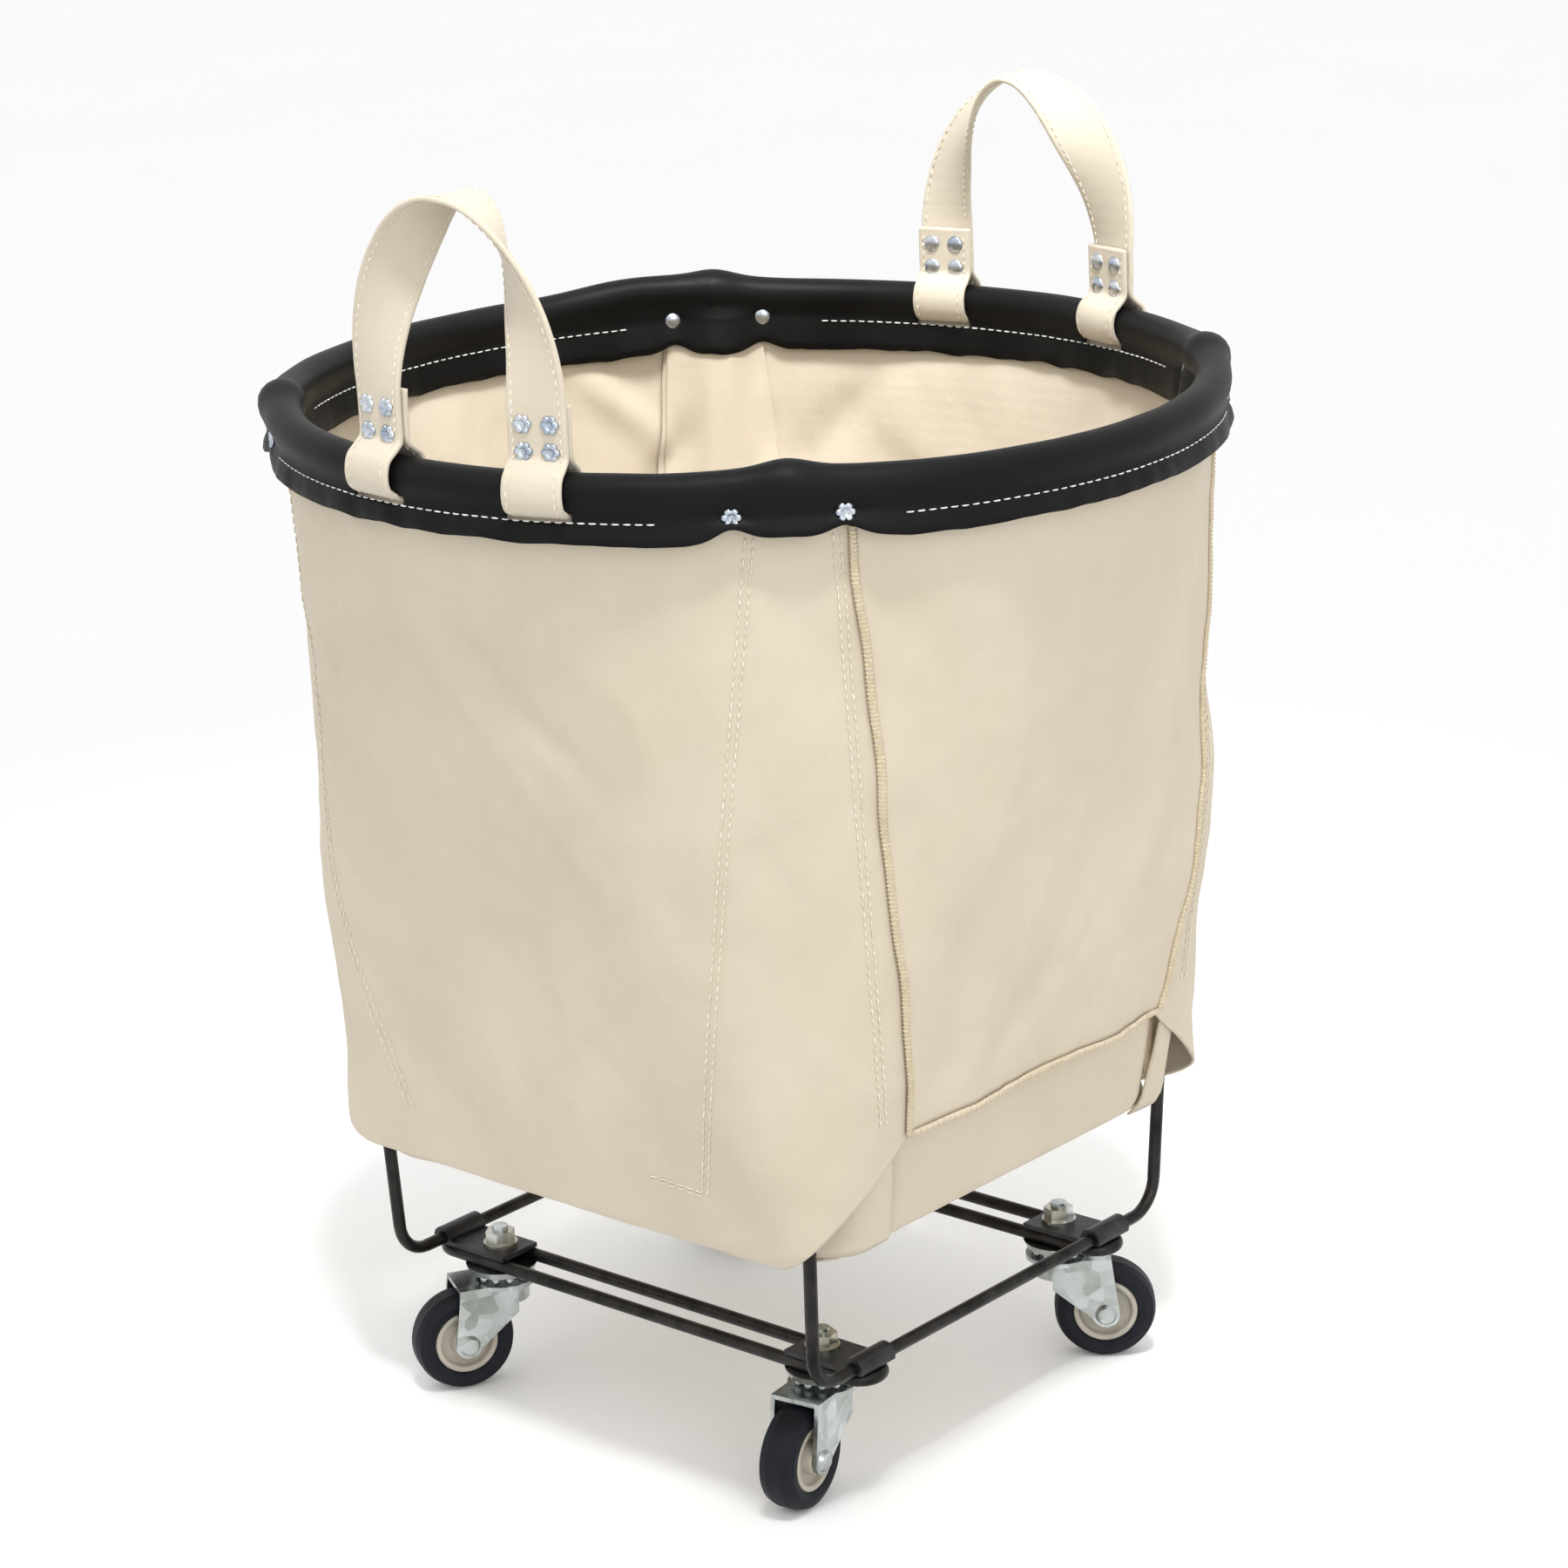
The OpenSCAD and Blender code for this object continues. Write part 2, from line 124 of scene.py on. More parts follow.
def math_node(tree, operation, a, b):
    node = tree.nodes.new("ShaderNodeMath")
    node.operation = operation
    for socket, value in zip(node.inputs, (a, b)):
        if isinstance(value, (int, float)):
            socket.default_value = value
        else:
            tree.links.new(value, socket)
    return node.outputs[0]


def mix_color(tree, factor, a, b, blend="MIX"):
    node = tree.nodes.new("ShaderNodeMix")
    node.data_type = "RGBA"
    node.blend_type = blend
    for socket, value in ((node.inputs["Factor"], factor), (node.inputs["A"], a), (node.inputs["B"], b)):
        if isinstance(value, (int, float)):
            socket.default_value = value
        elif isinstance(value, tuple):
            socket.default_value = (*value, 1)
        else:
            tree.links.new(value, socket)
    return node.outputs["Result"]


def bump(tree, shader, height, strength, distance):
    node = add_node(tree, "ShaderNodeBump", Strength=strength, Distance=distance)
    tree.links.new(height, node.inputs["Height"])
    tree.links.new(node.outputs["Normal"], shader.inputs["Normal"])


def weave_height(tree, vector, pitch):
    """Plain weave: threads cross in every direction that a wall of the bag can face."""
    waves = []
    for direction in ("X", "Y", "Z"):
        wave = add_node(tree, "ShaderNodeTexWave", Scale=1 / pitch / 20, Distortion=1.2, Detail=1.0)
        wave.inputs["Detail Scale"].default_value = 2.0
        wave.bands_direction = direction
        tree.links.new(vector, wave.inputs["Vector"])
        waves.append(wave.outputs["Fac"])
    total = math_node(tree, "ADD", waves[0], waves[1])
    return math_node(tree, "ADD", total, waves[2])


def canvas_material(name, base, dark, fleck):
    material, tree, shader = new_material(name)
    vector = texture_coords(tree)
    blotches = noise_texture(tree, vector, 9.0, 4.0, 0.6)
    cloth = ramp(tree, blotches, [(0.3, dark), (0.62, base)])
    fine = noise_texture(tree, vector, 900.0, 2.0, 0.6)
    cloth = mix_color(tree, math_node(tree, "MULTIPLY", fine, 0.22), cloth, dark)
    streaks = noise_texture(tree, texture_coords(tree, (1, 1, 0.35)), 800.0, 2.0, 0.7)
    flecks = ramp(tree, streaks, [(0.69, (0, 0, 0)), (0.76, (1, 1, 1))])
    cloth = mix_color(tree, math_node(tree, "MULTIPLY", flecks, 0.4), cloth, fleck)
    tree.links.new(cloth, shader.inputs["Base Color"])
    shader.inputs["Roughness"].default_value = 0.92
    shader.inputs["Sheen Weight"].default_value = 0.12
    shader.inputs["Sheen Roughness"].default_value = 0.5
    shader.inputs["Specular IOR Level"].default_value = 0.2
    slubs = math_node(tree, "MULTIPLY", noise_texture(tree, vector, 260.0, 3.0, 0.6), 1.6)
    threads = math_node(tree, "MULTIPLY", weave_height(tree, vector, 1.1 * MM), 0.3)
    bump(tree, shader, math_node(tree, "ADD", threads, slubs), 0.4, 0.25 * MM)
    return material


def vinyl_material():
    material, tree, shader = new_material("binding_vinyl")
    vector = texture_coords(tree)
    tone = noise_texture(tree, vector, 14.0, 3.0)
    tree.links.new(ramp(tree, tone, [(0.3, (0.0025, 0.0025, 0.0025)), (0.75, (0.006, 0.006, 0.0056))]),
                   shader.inputs["Base Color"])
    rough = math_node(tree, "ADD", math_node(tree, "MULTIPLY", tone, 0.16), 0.42)
    tree.links.new(rough, shader.inputs["Roughness"])
    shader.inputs["Specular IOR Level"].default_value = 0.14
    pebble = tree.nodes.new("ShaderNodeTexVoronoi")
    pebble.inputs["Scale"].default_value = 900.0
    tree.links.new(vector, pebble.inputs["Vector"])
    creases = math_node(tree, "MULTIPLY", noise_texture(tree, vector, 60.0, 3.0), 2.5)
    bump(tree, shader, math_node(tree, "ADD", pebble.outputs["Distance"], creases), 0.22, 0.35 * MM)
    return material


def metal_material(name, light, dark, rough, metallic, scale, bump_height):
    """Metal with cloudy colour, streaked roughness and a faintly uneven surface."""
    material, tree, shader = new_material(name)
    vector = texture_coords(tree)
    clouds = noise_texture(tree, vector, scale, 4.0, 0.6)
    tree.links.new(ramp(tree, clouds, [(0.35, dark), (0.65, light)]), shader.inputs["Base Color"])
    fine = noise_texture(tree, vector, scale * 9, 3.0, 0.6)
    spread = math_node(tree, "ADD", math_node(tree, "MULTIPLY", fine, 0.22), rough - 0.11)
    tree.links.new(spread, shader.inputs["Roughness"])
    shader.inputs["Metallic"].default_value = metallic
    bump(tree, shader, fine, 0.3, bump_height * MM)
    return material


def zinc_material(name, tints):
    """Bright zinc: crystals in slightly different tints."""
    material, tree, shader = new_material(name)
    vector = texture_coords(tree)
    cells = tree.nodes.new("ShaderNodeTexVoronoi")
    cells.inputs["Scale"].default_value = 140.0
    tree.links.new(vector, cells.inputs["Vector"])
    hue = tree.nodes.new("ShaderNodeSeparateColor")
    tree.links.new(cells.outputs["Color"], hue.inputs["Color"])
    clouds = noise_texture(tree, vector, 45.0, 3.0)
    mixed = math_node(tree, "ADD", math_node(tree, "MULTIPLY", hue.outputs[0], 0.3),
                      math_node(tree, "MULTIPLY", clouds, 0.7))
    stops = [(0.25 + 0.5 * k / (len(tints) - 1), tint) for k, tint in enumerate(tints)]
    tree.links.new(ramp(tree, mixed, stops), shader.inputs["Base Color"])
    tree.links.new(math_node(tree, "ADD", math_node(tree, "MULTIPLY", clouds, 0.25), 0.16),
                   shader.inputs["Roughness"])
    shader.inputs["Metallic"].default_value = 1.0
    bump(tree, shader, noise_texture(tree, vector, 380.0, 3.0), 0.25, 0.1 * MM)
    return material


def dull_material(name, light, dark, rough, scale=40.0, height=0.1, specular=0.4):
    """Plastic, rubber or thread: mottled colour, varied roughness and a fine grain."""
    material, tree, shader = new_material(name)
    vector = texture_coords(tree)
    clouds = noise_texture(tree, vector, scale, 4.0, 0.6)
    tree.links.new(ramp(tree, clouds, [(0.35, dark), (0.65, light)]), shader.inputs["Base Color"])
    tree.links.new(math_node(tree, "ADD", math_node(tree, "MULTIPLY", clouds, 0.2), rough - 0.1),
                   shader.inputs["Roughness"])
    shader.inputs["Specular IOR Level"].default_value = specular
    bump(tree, shader, noise_texture(tree, vector, scale * 25, 2.0), 0.3, height * MM)
    return material


CANVAS = canvas_material("canvas_duck", (0.61, 0.54, 0.43), (0.555, 0.485, 0.375), (0.46, 0.35, 0.22))
STRAP = canvas_material("canvas_strap", (0.60, 0.54, 0.44), (0.53, 0.47, 0.37), (0.50, 0.39, 0.25))
VINYL = vinyl_material()
WIRE = metal_material("dark_wire", (0.040, 0.037, 0.035), (0.016, 0.015, 0.014), 0.36, 0.85, 70.0, 0.1)
CLIP = metal_material("clip_steel", (0.055, 0.055, 0.058), (0.025, 0.025, 0.027), 0.42, 0.8, 90.0, 0.12)
RIVET = zinc_material("rivet_nickel", [(0.30, 0.36, 0.46), (0.52, 0.57, 0.64), (0.66, 0.68, 0.70)])
ZINC = zinc_material("zinc_bright", [(0.26, 0.28, 0.26), (0.43, 0.46, 0.45), (0.60, 0.64, 0.65)])
NUT = zinc_material("zinc_yellow", [(0.34, 0.31, 0.24), (0.47, 0.45, 0.38), (0.58, 0.59, 0.57)])
HUB = dull_material("hub_plastic", (0.44, 0.41, 0.34), (0.36, 0.335, 0.275), 0.5, 50.0)
TYRE = dull_material("tyre_rubber", (0.007, 0.008, 0.014), (0.004, 0.0045, 0.008), 0.55, 60.0, 0.15, 0.2)
THREAD = dull_material("thread_cotton", (0.86, 0.80, 0.69), (0.70, 0.62, 0.48), 0.85, 300.0, 0.2, 0.2)
WHITE_THREAD = dull_material("thread_white", (0.80, 0.80, 0.78), (0.58, 0.58, 0.56), 0.8, 300.0, 0.2, 0.2)
CREAM_THREAD = dull_material("thread_cream", (0.74, 0.62, 0.40), (0.60, 0.48, 0.28), 0.85, 300.0, 0.2, 0.2)


# ---- Mesh helpers ----
def mesh_piece(name, points, faces, material, body="root", smooth=True):
    mesh = bpy.data.meshes.new(name)
    mesh.from_pydata([tuple(p) for p in points], [], [tuple(f) for f in faces])
    mesh.update()
    obj = bpy.data.objects.new(name, mesh)
    bpy.context.scene.collection.objects.link(obj)
    mesh.materials.append(material)
    mesh.polygons.foreach_set("use_smooth", [smooth] * len(mesh.polygons))
    if body:
        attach(obj, body)
    return obj


def solidify(obj, thickness, offset=-1.0):
    modifier = obj.modifiers.new("thickness", "SOLIDIFY")
    modifier.thickness = thickness
    modifier.offset = offset
    modifier.use_even_offset = False


def grid_faces(rows, columns, wrap=False, start=0, keep=None):
    faces = []
    for i in range(rows - 1):
        for j in range(columns if wrap else columns - 1):
            if keep is not None and not keep(i, j):
                continue
            k = (j + 1) % columns
            faces.append((start + i * columns + j, start + i * columns + k,
                          start + (i + 1) * columns + k, start + (i + 1) * columns + j))
    return faces


def bar(points, faces, a, b, up, wide, high):
    """Adds one stitch: a short rounded bar from a to b, lying on the surface whose normal is up."""
    along = b - a
    length = np.linalg.norm(along)
    if length < 1e-6:
        return
    along = along / length
    side = np.cross(up, along)
    side = side / np.linalg.norm(side)
    start = len(points)
    swells = ((0.0, 0.25, 0.0), (0.16, 0.9, 0.75), (0.5, 1.0, 1.0), (0.84, 0.9, 0.75), (1.0, 0.25, 0.0))
    for t, grow, rise in swells:
        middle = a + (b - a) * t + up * high * (rise - 0.5)
        w = side * wide / 2 * grow
        h = up * high / 2 * max(grow, 0.3)
        points.extend([middle - w, middle + h, middle + w, middle - h])
    for i in range(4):
        for j in range(4):
            p = start + 4 * i + j
            q = start + 4 * i + (j + 1) % 4
            faces.append((p, q, q + 4, p + 4))
    faces.append((start + 3, start + 2, start + 1, start))
    faces.append((start + 16, start + 17, start + 18, start + 19))


def polar(theta, radius, z):
    a = math.radians(theta)
    return np.array([radius * math.cos(a), radius * math.sin(a), z])


def smoothstep(low, high, x):
    t = min(max((x - low) / (high - low), 0.0), 1.0)
    return t * t * (3 - 2 * t)


def bell(x, width):
    return math.exp(-(x / width) ** 2)


def turn_from(theta, centre):
    """Angle from centre to theta, from -180 to 180."""
    return (theta - centre + 180) % 360 - 180


def corner_turn(theta):
    """Angle from the nearest corner of the bag."""
    return turn_from(theta, 45) % 90 - (90 if turn_from(theta, 45) % 90 > 45 else 0)


def soft_noise(p, scale, seed=0.0):
    return noise.noise(Vector((p[0] / scale + seed, p[1] / scale - seed, p[2] / scale + 2 * seed)))


# ---- Shape of the bag ----
def section_radius(theta, half, diagonal):
    """Radius at theta of a rounded square of that half width and half diagonal."""
    corner = (math.sqrt(2) * half - diagonal) / (math.sqrt(2) - 1)
    centre = half - corner
    a = abs(math.cos(math.radians(theta)))
    b = abs(math.sin(math.radians(theta)))
    if half * min(a, b) / max(a, b) <= centre:
        return half / max(a, b)
    along = centre * (a + b)
    return along + math.sqrt(max(along * along - 2 * centre * centre + corner * corner, 0.0))


def wall_radius(theta, z):
    t = min(max((z - FOLD_Z) / (TOP_Z - FOLD_Z), 0.0), 1.0)
    half = BAG_HALF + (RIM_R - BAG_HALF) * t
    diagonal = BAG_DIAG + (RIM_R - BAG_DIAG) * t * t
    if z < FOLD_Z:
        drop = min((FOLD_Z - z) / BOTTOM_ROUND, 1.0)
        inset = BOTTOM_ROUND * (1 - math.sqrt(1 - drop * drop))
        half -= inset
        diagonal -= inset * 1.15
    return section_radius(theta, half, diagonal)


# Soft dents and folds of the canvas: (angle, height, angle's reach, height's reach, slant, depth)
FOLDS = [
    (-104, 0.458, 9, 0.010, -1.0, -2.6), (-97, 0.430, 12, 0.013, -1.1, 2.4), (-86, 0.415, 12, 0.011, -0.8, -2.2),
    (-118, 0.400, 7, 0.016, 1.2, -2.0), (-70, 0.452, 8, 0.012, 0.6, 1.8), (-60, 0.300, 5, 0.070, 0.2, -1.8),
    (-128, 0.250, 5, 0.060, -0.3, 2.2), (-112, 0.190, 8, 0.020, -0.6, -1.8), (-76, 0.200, 9, 0.024, 0.7, 1.6),
    (-16, 0.300, 4, 0.110, 0.0, 1.6), (2, 0.430, 4, 0.060, 0.1, -2.0), (18, 0.330, 4, 0.120, -0.1, 2.4),
    (-8, 0.230, 9, 0.016, 0.6, -1.4), (30, 0.400, 4, 0.070, 0.1, -2.6), (40, 0.300, 4, 0.060, 0.2, 3.0),
    (52, 0.360, 5, 0.050, -0.2, -2.0), (80, 0.420, 10, 0.014, -0.8, -2.4), (100, 0.380, 11, 0.016, 0.9, 2.2),
    (118, 0.440, 7, 0.018, -0.9, 3.0), (127, 0.405, 6, 0.016, 0.8, -3.4), (140, 0.430, 7, 0.012, -1.0, 3.0),
    (150, 0.455, 8, 0.011, 0.9, -2.4), (172, 0.300, 5, 0.090, 0.1, 2.0), (-165, 0.410, 8, 0.018, 0.8, -2.2),
    (-150, 0.300, 5, 0.080, -0.2, -2.0), (110, 0.230, 8, 0.022, 0.6, -2.0),
]


def sag(theta, z):
    """How far the canvas stands out from its taut shape."""
    p = polar(theta, 1.0, z * 3.0)
    total = 2.2 * soft_noise(p, 0.35) + 1.1 * soft_noise(p, 0.13, 7.0) + 0.35 * soft_noise(p, 0.045, 3.0)
    for angle, height, wide, tall, slant, depth in FOLDS:
        da = turn_from(theta, angle)
        if abs(da) < 3 * wide:
            dz = z - height - slant * MM * 3.8 * da
            if abs(dz) < 3 * tall:
                total += depth * bell(da, wide) * bell(dz, tall)
    # the canvas is tight over the hoop and at the folded bottom edge
    hold = smoothstep(TOP_Z, TOP_Z - 0.05, z) * (0.35 + 0.65 * smoothstep(BAG_Z, BAG_Z + 0.05, z))
    belly = 3.0 * bell(z - 0.20, 0.07) * (1 - bell(corner_turn(theta), 20))
    return (1.6 * total * hold + belly) * MM


def wall_point(theta, z, out=0.0):
    return polar(theta, wall_radius(theta, z) + sag(theta, z) + out, z)


def wall_normal(theta, z):
    a = wall_point(theta + 0.4, z) - wall_point(theta - 0.4, z)
    b = wall_point(theta, z + 0.002) - wall_point(theta, z - 0.002)
    n = np.cross(a, b)
    return n / np.linalg.norm(n)


def seam_angle(z, corner):
    """Half angle that an end panel spans, from its bottom seam to the rim."""
    t = (z - SEAM_Z) / (RIM_Z - SEAM_Z)
    wobble = 0.5 * math.sin(z * 46 + corner) + 0.35 * math.sin(z * 117 + 2 * corner)
    calm = 0.35 if corner in (-45, 135) else 1.0
    return SEAM_LOW_ANGLE + 7.6 * t + wobble * calm


def outer_stitch_angle(z):
    """Angle from a corner to the sleeve's stitch line on the front or back face."""
    return 15.8 - 11.6 * (z - BAG_Z) / (RIM_Z - BAG_Z)


def inner_stitch_angle(z):
    """Angle from a corner to the sleeve's stitch line on the end face."""
    return 11.2 - 5.6 * (z - BAG_Z) / (RIM_Z - BAG_Z)


FLAP_START = 40.5


def flap_low(turn):
    """Height of the wrap's lower edge, which slants up past each corner."""
    past = (abs(turn) - FLAP_START) / (90 - SEAM_LOW_ANGLE - FLAP_START)
    return BAG_Z + max(past, 0.0) * (SEAM_Z - 2 * MM - BAG_Z)


def wrap_face(side, points, faces):
    """The front or back face with its two flaps round the corners."""
    start = len(points)
    columns = 150
    rows = 96
    centre = 90 * side
    for i in range(rows):
        for j in range(columns):
            share = 2 * j / (columns - 1) - 1
            low = flap_low(share * (90 - SEAM_LOW_ANGLE))
            rise = (i / (rows - 1)) ** 1.15
            z = low + (TOP_Z - low) * rise
            left = 90 - seam_angle(max(z, SEAM_Z), 45 * side if side * share < 0 else 135 * side)
            points.append(wall_point(centre + share * left, z))
    faces.extend(grid_faces(rows, columns, start=start))


def wrap_bottom(points, faces):
    """The floor, sagging between its folds, with its corners cut off inside the uprights."""
    start = len(points)
    count = 61
    reach = BAG_HALF - BOTTOM_ROUND
    cut = 262 * MM
    for i in range(count):
        for j in range(count):
            u = 2 * i / (count - 1) - 1
            v = 2 * j / (count - 1) - 1
            x, y = u * reach, v * reach
            over = max(abs(x) + abs(y) - cut, 0.0) / 2
            x -= math.copysign(over, x)
            y -= math.copysign(over, y)
            droop = 7 * (1 - u * u) * (1 - v * v) + 1.2 * soft_noise((x, y, 0.0), 0.06)
            points.append(np.array([x, y, BAG_Z - droop * MM * (1 - max(abs(u), abs(v)) ** 6)]))
    faces.extend(grid_faces(count, count, start=start))


def wrap_band(side, points, faces):
    """The floor's end, turned up under an end panel; its ends pass inside the uprights."""
    start = len(points)
    columns = 90
    turns = [math.radians(a) for a in range(0, 91, 10)]
    heights = [FOLD_Z + (SEAM_Z + 5 * MM - FOLD_Z) * k / 9 for k in range(1, 10)]
    levels = [BAG_Z + BOTTOM_ROUND * (1 - math.cos(a)) for a in turns] + heights
    insets = [BOTTOM_ROUND * (1 - math.sin(a)) for a in turns] + [0.0] * len(heights)
    for z, inset in zip(levels, insets):
        for j in range(columns):
            y = (2 * j / (columns - 1) - 1) * 128 * MM
            x = BAG_HALF - inset + (z - FOLD_Z) * 0.15 - 2.2 * MM
            past = max(abs(y) - 92 * MM, 0.0) / (36 * MM)
            x -= past ** 1.6 * 26 * MM
            x += 1.6 * MM * soft_noise((x, y, z), 0.05, 4.0) * smoothstep(BAG_Z, FOLD_Z, z)
            points.append(np.array([side * x, side * y, z]))
    faces.extend(grid_faces(len(levels), columns, start=start))


def canvas_wrap():
    points, faces = [], []
    for side in (-1, 1):
        wrap_face(side, points, faces)
        wrap_band(side, points, faces)
    wrap_bottom(points, faces)
    obj = mesh_piece("canvas_wrap_cloth", points, faces, CANVAS)
    solidify(obj, CANVAS_T)
    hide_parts("canvas_wrap")
    return obj


def end_panel(side):
    """The end panel is sewn on over the wrap's edges, so it stands a thread's width proud."""
    points = []
    columns, rows = 84, 90
    centre = 0 if side > 0 else 180
    for i in range(rows):
        z = SEAM_Z + (TOP_Z - SEAM_Z) * i / (rows - 1)
        low = seam_angle(z, -45 if side > 0 else 135)
        high = seam_angle(z, 45 if side > 0 else -135)
        for j in range(columns):
            t = j / (columns - 1)
            theta = centre - low + (low + high) * t
            edge = min(t, 1 - t) * (columns - 1)
            proud = 0.5 * MM + 0.9 * MM * bell(edge, 2.5)
            points.append(wall_point(theta, z, proud))
    obj = mesh_piece(f"end_panel_cloth_{'right' if side > 0 else 'left'}", points,
                     grid_faces(rows, columns), CANVAS)
    solidify(obj, CANVAS_T)
    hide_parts("end_panel_right" if side > 0 else "end_panel_left")
    return obj


def seam_path(side, corner):
    """Points and normals down one side seam, as far as the bottom seam."""
    centre = 0 if side > 0 else 180
    way = 1 if turn_from(corner, centre) > 0 else -1
    count = 150
    for k in range(count):
        z = TOP_Z - 12 * MM - (TOP_Z - 12 * MM - SEAM_Z) * k / (count - 1)
        theta = centre + way * seam_angle(z, corner)
        yield wall_point(theta, z, 1.4 * MM), wall_normal(theta, z)


def bottom_seam_path(side):
    centre = 0 if side > 0 else 180
    low = seam_angle(SEAM_Z, -45 if side > 0 else 135)
    high = seam_angle(SEAM_Z, 45 if side > 0 else -135)
    count = 110
    for k in range(count):
        theta = centre - low + (low + high) * k / (count - 1)
        z = SEAM_Z + 1.6 * MM * soft_noise(polar(theta, 1.0, 0.0), 0.22, 5.0)
        yield wall_point(theta, z, 1.4 * MM), wall_normal(theta, z)


def overlock(path, points, faces, loops, loop_faces, wide, high, pitch):
    """A raised overlocked edge: a folded rib with slanted loops of thread over it."""
    path = list(path)
    start = len(points)
    steps = 8
    frames = []
    for k, (p, n) in enumerate(path):
        q = path[min(k + 1, len(path) - 1)][0] - path[max(k - 1, 0)][0]
        q = q / np.linalg.norm(q)
        s = np.cross(n, q)
        frames.append((p, n, q, s))
        swell = 1 + 0.12 * soft_noise(p, 0.012, 2.0)
        for m in range(steps):
            a = 2 * math.pi * m / steps
            rise = math.sin(a) * high / 2 * swell + high * 0.2
            points.append(p + s * math.cos(a) * wide / 2 * swell + n * rise)
    faces.extend(grid_faces(len(path), steps, wrap=True, start=start))
    faces.append(tuple(start + m for m in reversed(range(steps))))
    faces.append(tuple(start + (len(path) - 1) * steps + m for m in range(steps)))
    travelled = 0.0
    for (p, n, q, s), (p2, *_rest) in zip(frames, frames[1:]):
        travelled += np.linalg.norm(p2 - p)
        if travelled >= pitch:
            travelled = 0.0
            lift = n * high * 0.72
            a = p - s * wide * 0.62 + n * high * 0.1
            c = p + s * wide * 0.62 + q * pitch * 0.25 + n * high * 0.1
            b = (a + c) / 2 + lift
            bar(loops, loop_faces, a, b, n, 0.75 * MM, 0.7 * MM)
            bar(loops, loop_faces, b, c, n, 0.75 * MM, 0.7 * MM)


def end_seams(side):
    points, faces, loops, loop_faces = [], [], [], []
    for corner in ((-45, 45) if side > 0 else (135, -135)):
        overlock(seam_path(side, corner), points, faces, loops, loop_faces, 3.4 * MM, 2.4 * MM, 1.9 * MM)
    overlock(bottom_seam_path(side), points, faces, loops, loop_faces, 3.0 * MM, 2.2 * MM, 2.6 * MM)
    label = "right" if side > 0 else "left"
    rib = mesh_piece(f"end_seam_rib_{label}", points, faces, CANVAS)
    thread = mesh_piece(f"end_seam_thread_{label}", loops, loop_faces, CREAM_THREAD)


def run_stitches(points, faces, place, length, pitch, share=0.72, wide=0.8, high=0.6):
    """Stitches along place(d), which gives a point and a normal d metres along the line."""
    count = int(length / pitch)
    for k in range(count):
        d = k * pitch
        a, n = place(d)
        b, _ = place(d + pitch * share)
        bar(points, faces, a, b, n, wide * MM, high * MM)


def sleeve_stitches():
    """Two rows of stitches down each side of every corner sleeve, seen on the outside."""
    points, faces = [], []
    top = RIM_Z - 20 * MM
    for corner in CORNER_NAMES:
        toward_face = -1 if corner in (-45, 135) else 1
        for row in (0.0, 1.9):
            low = BAG_Z + 32 * MM

            def face_line(d):
                z = top - d
                theta = corner + toward_face * (outer_stitch_angle(z) - row * 0.5)
                return wall_point(theta, z, 0.25 * MM), wall_normal(theta, z)

            def end_line(d):
                z = top - d
                theta = corner - toward_face * (inner_stitch_angle(z) - row * 0.45)
                return wall_point(theta, z, 0.25 * MM), wall_normal(theta, z)

            run_stitches(points, faces, face_line, top - low, 4.6 * MM)
            run_stitches(points, faces, end_line, top - SEAM_Z - 4 * MM, 4.6 * MM)

            def foot_line(d):
                z = low + (row + 1) * MM + d * 0.08
                theta = corner + toward_face * (outer_stitch_angle(z) + math.degrees(d / 0.17))
                return wall_point(theta, z, 0.25 * MM), wall_normal(theta, z)

            if corner != -135:
                run_stitches(points, faces, foot_line, 32 * MM, 4.6 * MM)
    obj = mesh_piece("sleeve_stitches", points, faces, THREAD)


def corner_sleeve(corner):
    """The strip inside a corner bulges over the upright and is flat where it is stitched."""
    points = []
    columns, rows = 41, 70
    toward_face = -1 if corner in (-45, 135) else 1
    a = math.radians(corner)
    for i in range(rows):
        z = BAG_Z + 3 * MM + (RIM_Z - 25 * MM - BAG_Z) * i / (rows - 1)
        s = UPRIGHT_LOW_S + UPRIGHT_TILT * (z - UPRIGHT_LOW_Z) - WIRE_R - 1.6 * MM
        over = np.array([s * math.cos(a), s * math.sin(a), z])
        low = -(inner_stitch_angle(z) + 1.2)
        high = outer_stitch_angle(z) + 1.2
        for j in range(columns):
            t = j / (columns - 1)
            turn = low + (high - low) * t
            on_wall = wall_point(corner + toward_face * turn, z, -CANVAS_T - 1.4 * MM)
            side = polar(corner + 90 * toward_face, 1.0, 0.0) * 0.22 * math.tan(math.radians(turn))
            weight = 1 - smoothstep(1.4, high if turn > 0 else -low, abs(turn))
            lift = over + side * 0.8
            point = on_wall * (1 - weight) + lift * weight
            point[2] = z
            points.append(point)
    label = CORNER_NAMES[corner]
    obj = mesh_piece(f"corner_sleeve_cloth_{label}", points, grid_faces(rows, columns), CANVAS)
    solidify(obj, 1.2 * MM, 0.0)
    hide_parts(f"corner_sleeve_{label}")


# ---- Binding on the rim ----
BINDING_PROFILE = [(7.6, -22), (7.2, -18), (6.6, -14.5), (6.0, -12), (5.7, -10), (5.9, -8), (6.9, -5.5),
                   (8.0, -3), (8.5, 0), (8.2, 3), (7.0, 5.3), (5.0, 7.2), (2.6, 8.3), (0, 8.7),
                   (-2.6, 8.3), (-5.0, 7.2), (-7.0, 5.3), (-8.2, 3), (-8.5, 0), (-8.0, -3), (-6.9, -5.5),
                   (-5.9, -8), (-5.7, -10), (-6.0, -12), (-6.3, -15), (-6.7, -19), (-7.0, -23), (-7.2, -27)]


def leg_angle(side, leg):
    across = HANDLE_OFF[side] + leg * LEG_SPACING[side] / 2
    return side * 90 - side * math.degrees(math.asin(across / RIM_R))


